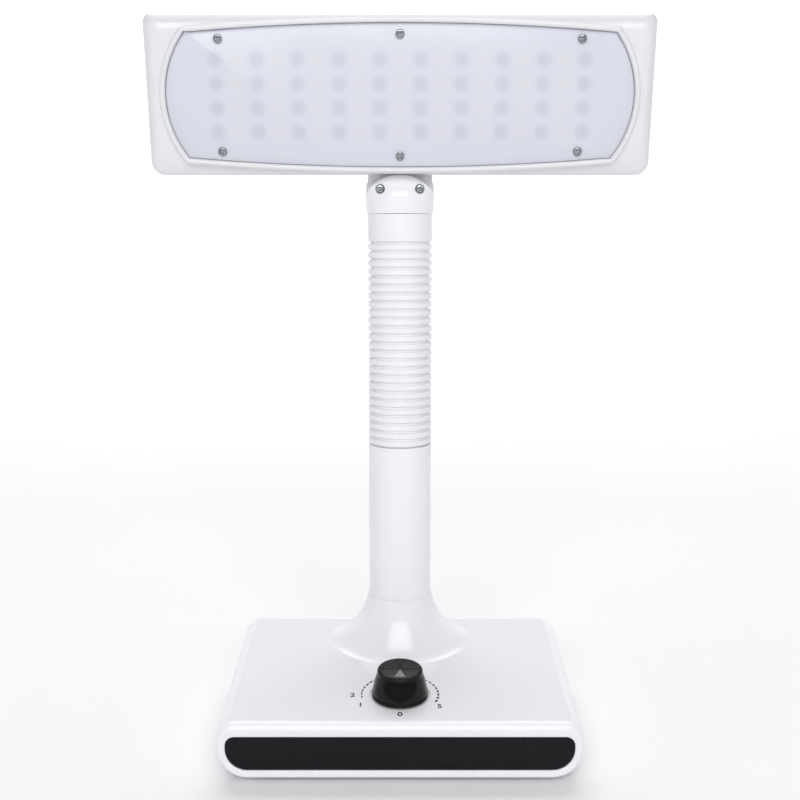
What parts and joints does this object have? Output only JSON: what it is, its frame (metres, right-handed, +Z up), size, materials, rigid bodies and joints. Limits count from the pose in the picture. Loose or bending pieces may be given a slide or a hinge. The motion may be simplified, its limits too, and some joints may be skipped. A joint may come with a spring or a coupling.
{
  "type": "led desk lamp",
  "caption": "Desk lamp with a wide flat head of diffused lights on a ribbed flexible neck, rigid tube and wedge base with a rotary dimmer knob and a dark front panel.",
  "frame": {"origin": "on the table under the middle of the base's footprint", "axes": "+Z up along the tube, -Y out of the front panel and the lit face, +X to the viewer's right"},
  "size_m": [0.272, 0.132, 0.3979],
  "materials": {
    "white_shell": "satin white moulded plastic",
    "white_sleeve": "soft white ribbed sleeve",
    "link_grey": "plain acetal",
    "black_panel": "dark polished plastic",
    "black_knob": "gloss black",
    "pointer_grey": "light grey inlay",
    "foot_rubber": "matt",
    "screw_steel": "plated",
    "ballast_iron": "bare",
    "board_green": "circuit board",
    "board_black": "moulded components",
    "socket_black": "moulded",
    "pot_metal": "drawn can",
    "flange_metal": "turned",
    "lead_grey": "insulated wire",
    "diffuser": "milky translucent sheet",
    "led_board": "white solder mask",
    "cool_led": "clear dome over white phosphor",
    "warm_led": "clear dome over yellow phosphor"
  },
  "bodies": {
    "base": {"base_housing": "white_shell", "bottom_plate": "white_shell", "front_panel": "black_panel", "rubber_feet": "foot_rubber", "base_screws": "screw_steel", "ballast": "ballast_iron", "driver_board": "board_green", "board_parts": "board_black", "board_screws": "screw_steel", "dc_socket": "socket_black", "pot_body": "pot_metal", "pot_washer": "screw_steel", "pot_nut": "screw_steel", "pot_leads": "lead_grey", "lower_tube": "white_shell", "tube_flange": "flange_metal", "flange_screws": "screw_steel", "lower_fitting": "link_grey", "sleeve_lower_end": "white_sleeve", "base_lead": "lead_grey"},
    "knob": {"knob": "black_knob", "knob_pointer": "pointer_grey", "pot_shaft": "screw_steel"},
    "neck_1": {"link_1": "link_grey", "sleeve_1": "white_sleeve"},
    "neck_2": {"link_2": "link_grey", "sleeve_2": "white_sleeve"},
    "neck_3": {"link_3": "link_grey", "sleeve_3": "white_sleeve"},
    "neck_4": {"link_4": "link_grey", "sleeve_4": "white_sleeve"},
    "neck_5": {"link_5": "link_grey", "sleeve_5": "white_sleeve"},
    "neck_6": {"link_6": "link_grey", "sleeve_6": "white_sleeve"},
    "neck_7": {"link_7": "link_grey", "sleeve_7": "white_sleeve"},
    "neck_8": {"link_8": "link_grey", "sleeve_8": "white_sleeve"},
    "neck_9": {"link_9": "link_grey", "sleeve_9": "white_sleeve"},
    "neck_10": {"link_10": "link_grey", "sleeve_10": "white_sleeve"},
    "neck_11": {"link_11": "link_grey", "sleeve_11": "white_sleeve"},
    "head": {"sleeve_upper_end": "white_sleeve", "upper_fitting": "link_grey", "neck_rear": "white_shell", "neck_cap": "white_shell", "cap_screws": "screw_steel", "neck_screws": "screw_steel", "head_housing": "white_shell", "diffuser": "diffuser", "diffuser_screws": "screw_steel", "led_board": "led_board", "led_screws": "screw_steel", "cool_leds": "cool_led", "warm_leds": "warm_led", "head_lead": "lead_grey"}
  },
  "joints": [
    {"name": "dimmer_turn", "type": "hinge", "parent": "base", "child": "knob", "pos_m": [0, -0.0355, 0.03554], "axis": [0, 0.0993, -0.9951], "range_deg": [0, 300]},
    {"name": "bend_1", "type": "hinge", "parent": "base", "child": "neck_1", "pos_m": [0, 0.032, 0.16512], "axis": [1, 0, 0], "range_deg": [-8, 12.5], "deforming": ["sleeve_1"]},
    {"name": "sway_2", "type": "hinge", "parent": "neck_1", "child": "neck_2", "pos_m": [0, 0.032, 0.17436], "axis": [0, 1, 0], "range_deg": [-9, 9], "deforming": ["sleeve_2"]},
    {"name": "bend_3", "type": "hinge", "parent": "neck_2", "child": "neck_3", "pos_m": [0, 0.032, 0.1836], "axis": [1, 0, 0], "range_deg": [-8, 12.5], "deforming": ["sleeve_3"]},
    {"name": "sway_4", "type": "hinge", "parent": "neck_3", "child": "neck_4", "pos_m": [0, 0.032, 0.19284], "axis": [0, 1, 0], "range_deg": [-9, 9], "deforming": ["sleeve_4"]},
    {"name": "bend_5", "type": "hinge", "parent": "neck_4", "child": "neck_5", "pos_m": [0, 0.032, 0.20208], "axis": [1, 0, 0], "range_deg": [-8, 12.5], "deforming": ["sleeve_5"]},
    {"name": "sway_6", "type": "hinge", "parent": "neck_5", "child": "neck_6", "pos_m": [0, 0.032, 0.21132], "axis": [0, 1, 0], "range_deg": [-9, 9], "deforming": ["sleeve_6"]},
    {"name": "bend_7", "type": "hinge", "parent": "neck_6", "child": "neck_7", "pos_m": [0, 0.032, 0.22056], "axis": [1, 0, 0], "range_deg": [-8, 12.5], "deforming": ["sleeve_7"]},
    {"name": "sway_8", "type": "hinge", "parent": "neck_7", "child": "neck_8", "pos_m": [0, 0.032, 0.2298], "axis": [0, 1, 0], "range_deg": [-9, 9], "deforming": ["sleeve_8"]},
    {"name": "bend_9", "type": "hinge", "parent": "neck_8", "child": "neck_9", "pos_m": [0, 0.032, 0.23904], "axis": [1, 0, 0], "range_deg": [-8, 12.5], "deforming": ["sleeve_9"]},
    {"name": "sway_10", "type": "hinge", "parent": "neck_9", "child": "neck_10", "pos_m": [0, 0.032, 0.24828], "axis": [0, 1, 0], "range_deg": [-9, 9], "deforming": ["sleeve_10"]},
    {"name": "bend_11", "type": "hinge", "parent": "neck_10", "child": "neck_11", "pos_m": [0, 0.032, 0.25752], "axis": [1, 0, 0], "range_deg": [-8, 12.5], "deforming": ["sleeve_11"]},
    {"name": "sway_12", "type": "hinge", "parent": "neck_11", "child": "head", "pos_m": [0, 0.032, 0.26676], "axis": [0, 1, 0], "range_deg": [-9, 9]}
  ],
  "couplings": [
    {"joint": "bend_3", "follows": "bend_1", "ratio": 1},
    {"joint": "sway_4", "follows": "sway_2", "ratio": 1},
    {"joint": "bend_5", "follows": "bend_1", "ratio": 1},
    {"joint": "sway_6", "follows": "sway_2", "ratio": 1},
    {"joint": "bend_7", "follows": "bend_1", "ratio": 1},
    {"joint": "sway_8", "follows": "sway_2", "ratio": 1},
    {"joint": "bend_9", "follows": "bend_1", "ratio": 1},
    {"joint": "sway_10", "follows": "sway_2", "ratio": 1},
    {"joint": "bend_11", "follows": "bend_1", "ratio": 1},
    {"joint": "sway_12", "follows": "sway_2", "ratio": 1}
  ]
}
